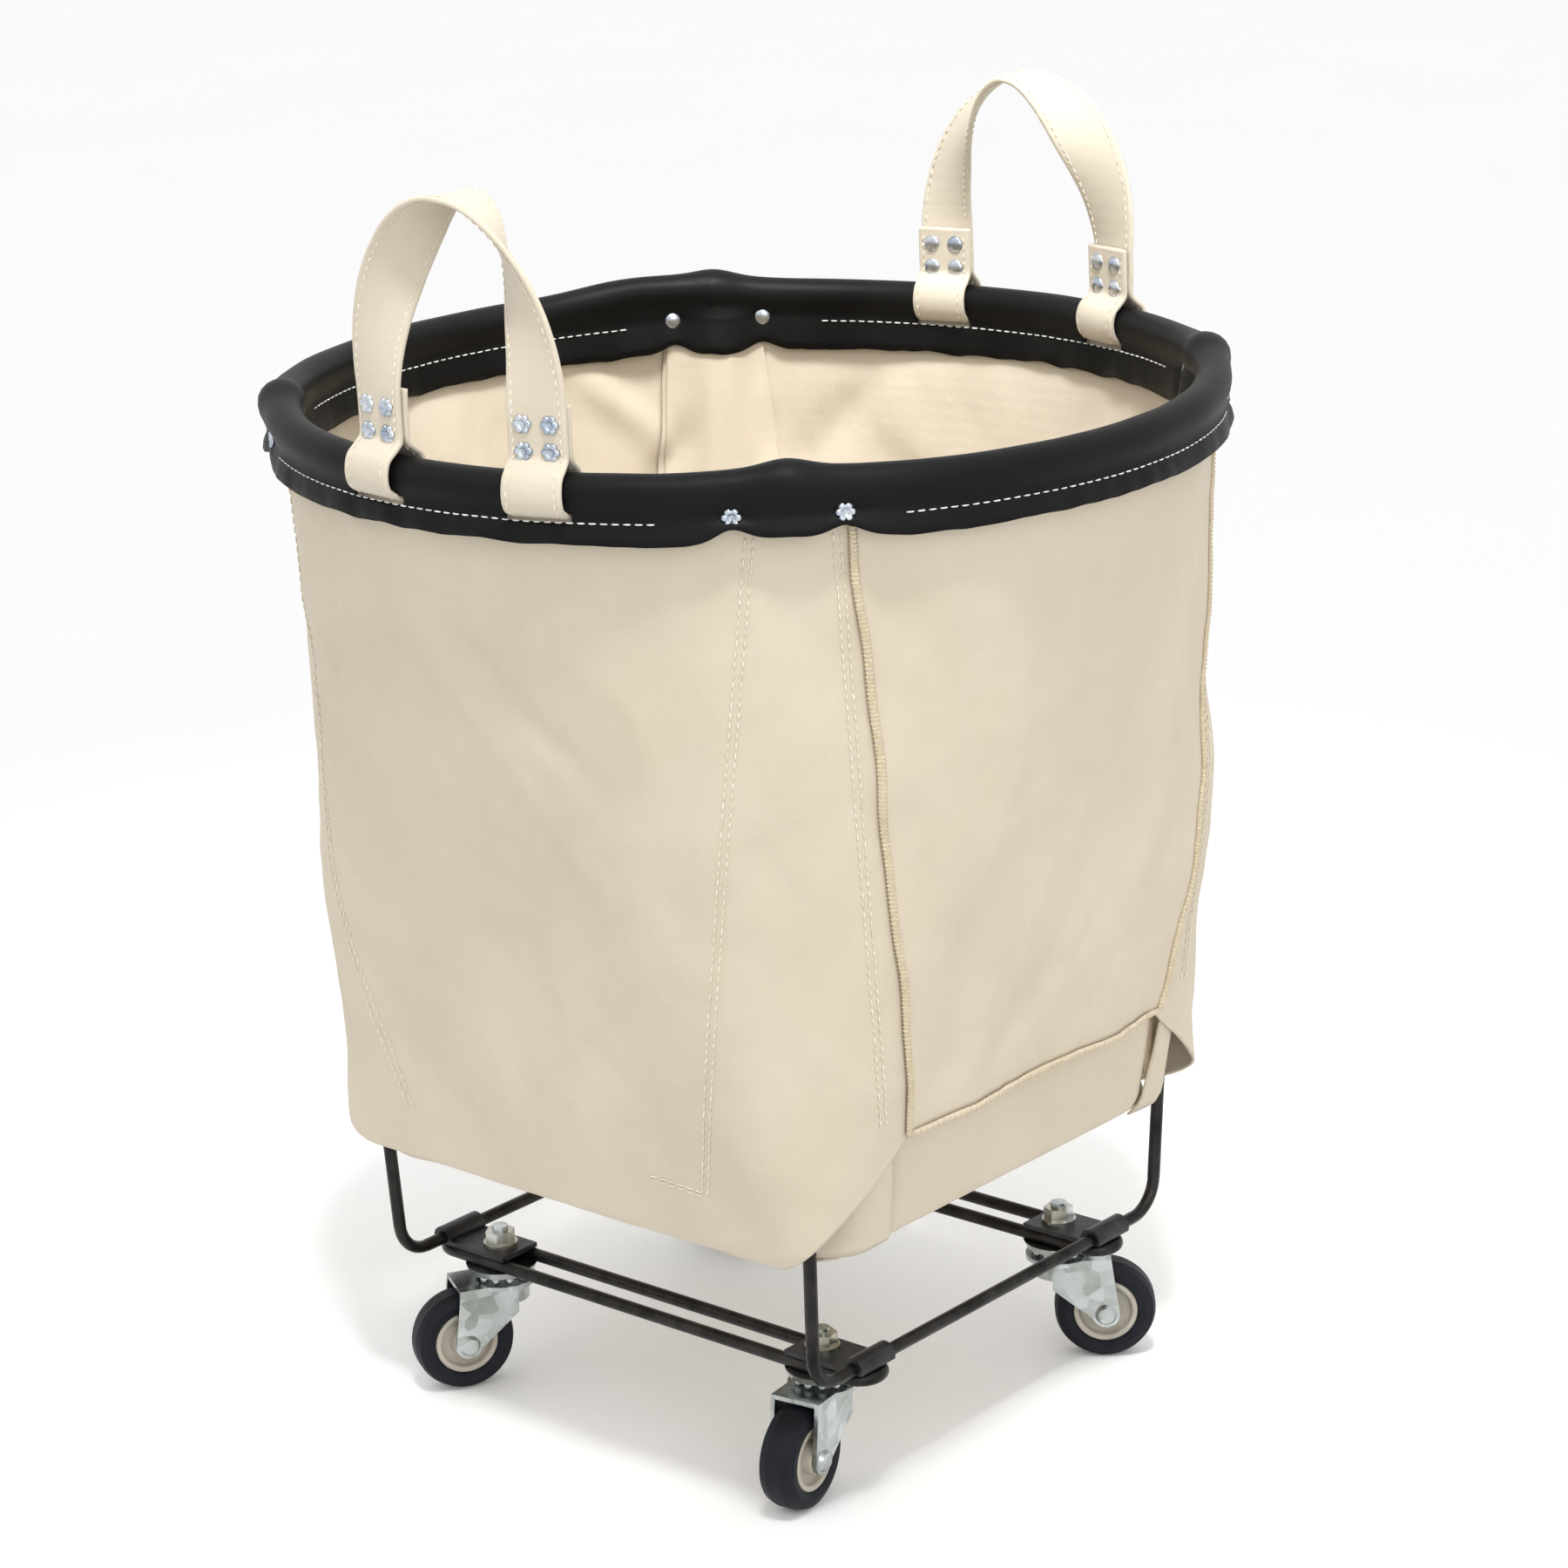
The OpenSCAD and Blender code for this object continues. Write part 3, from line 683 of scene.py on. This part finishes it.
LEG_ANGLES = [leg_angle(side, leg) for side in (-1, 1) for leg in (-1, 1)]
SLOT_LOW, SLOT_HIGH = -12.0, -8.0


def binding_point(theta, index):
    r, h = BINDING_PROFILE[index]
    turn = corner_turn(theta)
    p = polar(theta, 1.0, 0.0)
    hook = bell(turn, 3.4)
    rivet = bell(abs(turn) - RIVET_ANGLE, 2.2)
    wave = soft_noise(p, 0.11, 1.0) + 0.6 * soft_noise(p, 0.05, 9.0)
    if h > -7:
        grow = 1 + 0.34 * hook + 0.05 * soft_noise(p, 0.16, 6.0)
        raised = 2.2 * bell(turn, 8.0) + 4.5 * bell(turn_from(theta, 146), 9)
        r, h = r * grow, h * grow + raised - 1.2 * (1 - bell(turn, 26))
    elif r > 0:
        low = smoothstep(-8, -22, h)
        r += 2.2 * hook - 1.0 * rivet + low * (1.6 * wave + 0.6)
        h += low * (4.2 * rivet + 4.0 * bell(turn, 9.0) + 1.5 * wave) - 1.2 * (1 - bell(turn, 26)) * (1 - low)
    else:
        low = smoothstep(-8, -27, h)
        r += -(6.6 + 1.2 * low) * bell(turn, 4.8) + 2.6 * rivet - low * (1.4 * wave + 0.4)
        h += low * (4.5 * rivet + 1.8 * wave) - 1.2 * (1 - bell(turn, 26)) * (1 - low)
    return polar(theta, RIM_R + r * MM, RIM_Z + h * MM)


def near_leg(theta):
    half = math.degrees((STRAP_W / 2 + 1.2 * MM) / RIM_R)
    return any(abs(turn_from(theta, a)) < half for a in LEG_ANGLES)


def rim_binding():
    columns = 720
    rows = len(BINDING_PROFILE)
    points = [binding_point(360 * j / columns, i) for i in range(rows) for j in range(columns)]

    def keep(i, j):
        h = (BINDING_PROFILE[i][1] + BINDING_PROFILE[i + 1][1]) / 2
        return not (SLOT_LOW < h < SLOT_HIGH and near_leg(360 * (j + 0.5) / columns))

    faces = [tuple(reversed(f)) for f in grid_faces(rows, columns, wrap=True, keep=keep)]
    obj = mesh_piece("rim_binding_vinyl", points, faces, VINYL)
    solidify(obj, 1.3 * MM, 1.0)
    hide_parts("rim_binding")


def binding_stitches():
    points, faces = [], []
    for middle in (-90, 0, 90, 180):
        span = 2 * (45 - 13.0)
        for index, side in ((3, 1), (23, -1)):
            def line(d):
                theta = middle - span / 2 + math.degrees(d / RIM_R)
                p = binding_point(theta, index)
                n = polar(theta, side, 0.0)
                return p + n * 0.35 * MM, n

            run_stitches(points, faces, line, math.radians(span) * RIM_R, 5.0 * MM, 0.7, 0.75, 0.55)
    obj = mesh_piece("binding_stitches", points, faces, WHITE_THREAD)


# ---- Rivets ----
def dome(points, faces, centre, axis, radius, height):
    """Domed rivet head, with a flat back."""
    around = 24
    side = np.cross(axis, np.array([0.0, 0.0, 1.0]))
    side = side / np.linalg.norm(side)
    other = np.cross(axis, side)
    start = len(points)
    bends = [math.radians(a) for a in range(0, 86, 15)]
    levels = [(1.0, -0.35)] + [(math.cos(a), math.sin(a)) for a in bends]
    rings = len(levels)
    for r, h in levels:
        for k in range(around):
            a = 2 * math.pi * k / around
            points.append(centre + (side * math.cos(a) + other * math.sin(a)) * radius * r + axis * height * h)
    faces.extend(grid_faces(rings, around, wrap=True, start=start))
    faces.append(tuple(start + (rings - 1) * around + k for k in range(around)))
    faces.append(tuple(start + k for k in reversed(range(around))))


def star(points, faces, centre, axis, radius, height, petals=6):
    """Clinched end of a split rivet: a ring of rolled petals round a hollow."""
    around = petals * 8
    side = np.cross(axis, np.array([0.0, 0.0, 1.0]))
    side = side / np.linalg.norm(side)
    other = np.cross(axis, side)
    start = len(points)
    levels = [(1.0, -0.5, 1.0), (1.0, 0.15, 1.0), (0.93, 0.6, 1.0), (0.78, 0.95, 0.9), (0.6, 1.0, 0.7),
              (0.42, 0.7, 0.4), (0.3, 0.1, 0.2), (0.14, 0.0, 0.0)]
    for r, h, lobes in levels:
        for k in range(around):
            a = 2 * math.pi * k / around
            notch = abs(math.cos(petals * a / 2)) ** 0.35
            grow = 1 - 0.26 * lobes * (1 - notch)
            drop = 0.55 * lobes * (1 - notch)
            points.append(centre + (side * math.cos(a) + other * math.sin(a)) * radius * r * grow
                          + axis * height * (h - drop))
    faces.extend(grid_faces(len(levels), around, wrap=True, start=start))
    faces.append(tuple(start + (len(levels) - 1) * around + k for k in range(around)))
    faces.append(tuple(start + k for k in reversed(range(around))))


def shank(points, faces, a, b, radius):
    around = 12
    axis = (b - a) / np.linalg.norm(b - a)
    side = np.cross(axis, np.array([0.0, 0.0, 1.0]))
    side = side / np.linalg.norm(side)
    other = np.cross(axis, side)
    start = len(points)
    for p in (a, b):
        for k in range(around):
            t = 2 * math.pi * k / around
            points.append(p + (side * math.cos(t) + other * math.sin(t)) * radius)
    faces.extend(grid_faces(2, around, wrap=True, start=start))
    faces.append(tuple(start + k for k in reversed(range(around))))
    faces.append(tuple(start + around + k for k in range(around)))


def rim_rivets():
    points, faces = [], []
    for corner in CORNER_NAMES:
        for way in (-1, 1):
            theta = corner + way * RIVET_ANGLE
            out = polar(theta, 1.0, 0.0)
            outside = binding_point(theta, 4) + out * 1.0 * MM
            inside = binding_point(theta, 22) - out * 0.2 * MM
            star(points, faces, outside, out, 4.6 * MM, 1.6 * MM)
            dome(points, faces, inside, -out, 4.4 * MM, 2.0 * MM)
            shank(points, faces, inside, outside, 1.9 * MM)
    obj = mesh_piece("rim_rivet_heads", points, faces, RIVET)
    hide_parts("rim_rivets")


# ---- Handles ----
# A leg's strap round the rim, from the tail inside to the stem outside: (outwards, up) in mm
LOOP_ROUTE = [(-2.0, 37), (-1.9, 30), (-1.9, 22), (-2.1, 14.2), (-5.0, 10.6), (-9.2, 6.6), (-10.9, 0.5),
              (-9.6, -5.5), (-5.8, -9.2), (0, -10.6), (5.8, -9.4), (10.0, -6.4), (11.4, -0.5), (9.9, 6.4),
              (5.2, 10.8), (2.1, 14.4), (1.9, 22), (1.9, 30), (1.9, 36)]


def smooth_route(route, per=5):
    """Catmull-Rom curve through the points."""
    q = [np.array(p, float) for p in route]
    q = [2 * q[0] - q[1]] + q + [2 * q[-1] - q[-2]]
    out = []
    for k in range(1, len(q) - 2):
        for m in range(per):
            t = m / per
            out.append(0.5 * (2 * q[k] + (q[k + 1] - q[k - 1]) * t
                              + (2 * q[k - 1] - 5 * q[k] + 4 * q[k + 1] - q[k + 2]) * t * t
                              + (3 * q[k] - q[k - 1] - 3 * q[k + 1] + q[k + 2]) * t ** 3))
    out.append(q[-2])
    return out


def strap_frames(side):
    """Centre line and width direction of a whole handle strap, tail to tail."""
    frames = []
    legs = []
    for leg in (-1, 1):
        theta = leg_angle(side, leg)
        out = polar(theta, 1.0, 0.0)
        wide = polar(theta + 90, 1.0, 0.0)
        if wide[0] < 0:
            wide = -wide
        legs.append((out, wide, [out * (RIM_R + r * MM) + np.array([0, 0, RIM_Z + h * MM])
                                 for r, h in smooth_route(LOOP_ROUTE)]))
    frames += [(p, legs[0][1]) for p in legs[0][2]]
    low, high = legs[0][2][-1], legs[1][2][-1]
    count = 64
    lean = -side * HANDLE_LEAN
    for k in range(1, count):
        t = k / count
        a = math.pi * t
        mid = (low + high) / 2
        half = (high - low) / 2
        spread = math.cos(a) * (1 - 0.22 * math.sin(a) ** 2)
        rise = math.sin(a) ** 0.92
        p = mid - half * spread + np.array([0, lean * math.sin(a) ** 1.5, (HANDLE_Z[side] - low[2]) * rise])
        turn = np.array([math.cos(a), -side * math.sin(a), 0.0])
        ends = legs[0][1] if t < 0.5 else -legs[1][1]
        wide = turn + (ends - np.array([math.copysign(1, math.cos(a)), 0, 0])) * abs(math.cos(a)) ** 2
        frames.append((p, wide))
    frames += [(p, -legs[1][1]) for p in reversed(legs[1][2])]
    return frames


def ribbon_axes(frames):
    """(point, along, wide, up) at every step of a ribbon."""
    rows = []
    for k, (p, wide) in enumerate(frames):
        along = frames[min(k + 1, len(frames) - 1)][0] - frames[max(k - 1, 0)][0]
        along = along / np.linalg.norm(along)
        wide = wide - along * np.dot(wide, along)
        wide = wide / np.linalg.norm(wide)
        rows.append((p, along, wide, np.cross(along, wide)))
    return rows


STRAP_SECTION = [(-1.0, -0.35), (-0.97, -0.8), (-0.9, -1.0), (-0.8, -0.9), (-0.7, -1.0), (-0.35, -1.06),
                 (0.0, -1.08), (0.35, -1.06), (0.7, -1.0), (0.8, -0.9), (0.9, -1.0), (0.97, -0.8), (1.0, -0.35)]


def handle(side):
    label = "front" if side < 0 else "back"
    rows = ribbon_axes(strap_frames(side))
    section = STRAP_SECTION + [(x, -y) for x, y in reversed(STRAP_SECTION)]
    points = []
    for k, (p, along, wide, up) in enumerate(rows):
        edge = 1 + 0.025 * soft_noise(p, 0.02, 3.0)
        cup = 0.5 * MM * soft_noise(p, 0.035, 8.0)
        for x, y in section:
            points.append(p + wide * x * STRAP_W / 2 * edge + up * (y * STRAP_T / 2 + cup * x * x))
    size = len(section)
    faces = grid_faces(len(rows), size, wrap=True)
    faces.append(tuple(reversed(range(size))))
    faces.append(tuple((len(rows) - 1) * size + k for k in range(size)))
    obj = mesh_piece(f"handle_strap_{label}", points, faces, STRAP, body=None)
    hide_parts(f"handle_arch_{label}", f"handle_loops_{label}")

    stitches, stitch_faces = [], []
    lengths = [np.linalg.norm(b[0] - a[0]) for a, b in zip(rows, rows[1:])]
    distance = np.concatenate([[0], np.cumsum(lengths)])
    pitch = 4.2 * MM
    for line in (-0.8, 0.8):
        for face in (-1, 1):
            for k in range(1, int(distance[-1] / pitch) - 1):
                ends = []
                for d in (k * pitch, k * pitch + 0.68 * pitch):
                    m = int(np.searchsorted(distance, d)) - 1
                    t = (d - distance[m]) / (distance[m + 1] - distance[m])
                    p = rows[m][0] * (1 - t) + rows[m + 1][0] * t
                    w = rows[m][2] * (1 - t) + rows[m + 1][2] * t
                    u = rows[m][3] * (1 - t) + rows[m + 1][3] * t
                    out = u * face * (STRAP_T / 2 * 0.93 + 0.1 * MM)
                    ends.append((p + w * line * STRAP_W / 2 + out, u * face))
                bar(stitches, stitch_faces, ends[0][0], ends[1][0], ends[0][1], 0.7 * MM, 0.5 * MM)
    thread = mesh_piece(f"handle_stitches_{label}", stitches, stitch_faces, THREAD, body=None)
    for piece in (obj, thread):
        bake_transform(piece)

    heads, head_faces = [], []
    for leg in (-1, 1):
        theta = leg_angle(side, leg)
        out = polar(theta, 1.0, 0.0)
        wide = polar(theta + 90, 1.0, 0.0)
        for z in (17 * MM, 29 * MM):
            for x in (-6.5 * MM, 6.5 * MM):
                middle = out * RIM_R + wide * x + np.array([0, 0, RIM_Z + z])
                thick = 1.9 * MM + STRAP_T / 2
                star(heads, head_faces, middle + out * (thick + 0.1 * MM), out, 4.5 * MM, 1.5 * MM)
                dome(heads, head_faces, middle - out * (thick - 0.1 * MM), -out, 4.3 * MM, 1.9 * MM)
                shank(heads, head_faces, middle - out * thick, middle + out * thick, 1.8 * MM)
    rivets = mesh_piece(f"handle_rivet_heads_{label}", heads, head_faces, RIVET)
    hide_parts(f"handle_rivets_{label}")


# ---- Wheels ----
# Direction of each caster's trail at rest, in degrees from +X
CASTER_YAW = {"left": -120, "front": -82, "right": 39, "back": 160}
# Half section of a hub as (radius, place along the axle) in mm: boss, recess and outer ring
HUB_HALF = [(3.2, 10.4), (6.8, 10.4), (7.4, 9.8), (7.8, 5.2), (8.6, 4.6), (12.2, 4.6), (12.9, 5.2), (13.2, 7.9),
            (13.8, 8.5), (15.6, 8.5), (16.1, 8.0)]


def wheel_hub(name):
    low, high = (np.array(c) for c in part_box(f"wheel_tyre_{name}"))
    centre = (low + high) / 2
    axis = polar(CASTER_YAW[name] + 90, 1.0, 0.0)
    side = polar(CASTER_YAW[name], 1.0, 0.0)
    section = HUB_HALF + [(r, -y) for r, y in reversed(HUB_HALF)]
    around = 64
    points = []
    for r, y in section:
        for k in range(around):
            a = 2 * math.pi * k / around
            spoke = side * math.cos(a) + np.array([0.0, 0.0, math.sin(a)])
            points.append(centre + (spoke * r + axis * y) * MM)
    size = len(section)
    faces = []
    for i in range(size):
        for j in range(around):
            k = (j + 1) % around
            n = (i + 1) % size
            faces.append((i * around + j, i * around + k, n * around + k, n * around + j))
    obj = mesh_piece(f"wheel_hub_face_{name}", points, faces, HUB, body=f"wheel_{name}")
    bevel = obj.modifiers.new("edges", "BEVEL")
    bevel.width = 0.25 * MM
    bevel.segments = 2
    bevel.limit_method = "ANGLE"
    bevel.angle_limit = math.radians(25)
    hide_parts(f"wheel_hub_{name}")


# ---- CAD pieces that keep their shape ----
def finish_cad(prefix, material, bevel=0.0):
    for name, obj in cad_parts.items():
        if name.startswith(prefix):
            if not obj.material_slots:
                obj.data.materials.append(material)
            for slot in obj.material_slots:
                slot.material = material
            if bevel:
                modifier = obj.modifiers.new("edges", "BEVEL")
                modifier.width = bevel
                modifier.segments = 2
                modifier.limit_method = "ANGLE"
                modifier.angle_limit = math.radians(40)


# ---- Light, floor and camera ----
def camera():
    azimuth, elevation, roll = (math.radians(a) for a in (40.83, 17.25, -2.09))
    target = np.array([9.37, 4.71, 307.57]) * MM
    back = np.array([math.sin(azimuth) * math.cos(elevation), -math.cos(azimuth) * math.cos(elevation),
                     math.sin(elevation)])
    right = np.cross(-back, [0, 0, 1])
    right = right / np.linalg.norm(right)
    up = np.cross(right, -back)
    right, up = (math.cos(roll) * right + math.sin(roll) * up, -math.sin(roll) * right + math.cos(roll) * up)
    data = bpy.data.cameras.new("camera")
    data.lens = 100.05
    data.sensor_width = 36
    data.clip_end = 50
    obj = bpy.data.objects.new("camera", data)
    bpy.context.scene.collection.objects.link(obj)
    place = target + back * 2113.8 * MM
    obj.matrix_world = Matrix([[right[i], up[i], back[i], place[i]] for i in range(3)] + [[0, 0, 0, 1]])
    bpy.context.scene.camera = obj


def area_light(name, place, target, size, power, spread=180):
    data = bpy.data.lights.new(name, "AREA")
    data.size = size
    data.energy = power
    data.spread = math.radians(spread)
    obj = bpy.data.objects.new(name, data)
    bpy.context.scene.collection.objects.link(obj)
    obj.location = place
    obj.rotation_euler = (Vector(target) - Vector(place)).to_track_quat("-Z", "Y").to_euler()


def studio():
    world = bpy.data.worlds.new("studio")
    bpy.context.scene.world = world
    world.use_nodes = True
    background = world.node_tree.nodes["Background"]
    background.inputs["Color"].default_value = (1.0, 1.0, 1.0, 1)
    background.inputs["Strength"].default_value = 1.0
    material, tree, shader = new_material("studio_floor")
    vector = texture_coords(tree)
    tone = ramp(tree, noise_texture(tree, vector, 3.0), [(0.0, (0.94, 0.94, 0.94)), (1.0, (0.96, 0.96, 0.96))])
    tree.links.new(tone, shader.inputs["Base Color"])
    shader.inputs["Roughness"].default_value = 0.8
    size = 12.0
    floor = mesh_piece("floor", [(-size, -size, 0), (size, -size, 0), (size, size, 0), (-size, size, 0)],
                       [(0, 1, 2, 3)], material, body=None)
    area_light("key", (-1.6, -2.4, 2.3), (0, 0, 0.3), 1.6, 3)
    area_light("fill", (2.6, -1.4, 1.5), (0, 0, 0.3), 2.0, 20)
    area_light("inside", (0.55, -0.5, 2.4), (-0.1, 0.12, 0.45), 0.5, 2.0, spread=25)
    bpy.context.scene.view_settings.view_transform = "Standard"


camera()
studio()
canvas_wrap()
for face in (-1, 1):
    end_panel(face)
    end_seams(face)
    handle(face)
for corner in CORNER_NAMES:
    corner_sleeve(corner)
sleeve_stitches()
rim_binding()
binding_stitches()
rim_rivets()
for name in CASTER_YAW:
    wheel_hub(name)
finish_cad("frame_wire", WIRE)
finish_cad("cross_loop", WIRE)
finish_cad("rim_hoop", WIRE)
finish_cad("corner_clip", CLIP, 0.5 * MM)
finish_cad("caster_stud", ZINC, 0.3 * MM)
finish_cad("caster_balls", ZINC)
finish_cad("caster_nut", NUT, 0.35 * MM)
finish_cad("caster_fork", ZINC, 0.5 * MM)
finish_cad("caster_axle", ZINC, 0.3 * MM)
finish_cad("wheel_tyre", TYRE, 0.8 * MM)
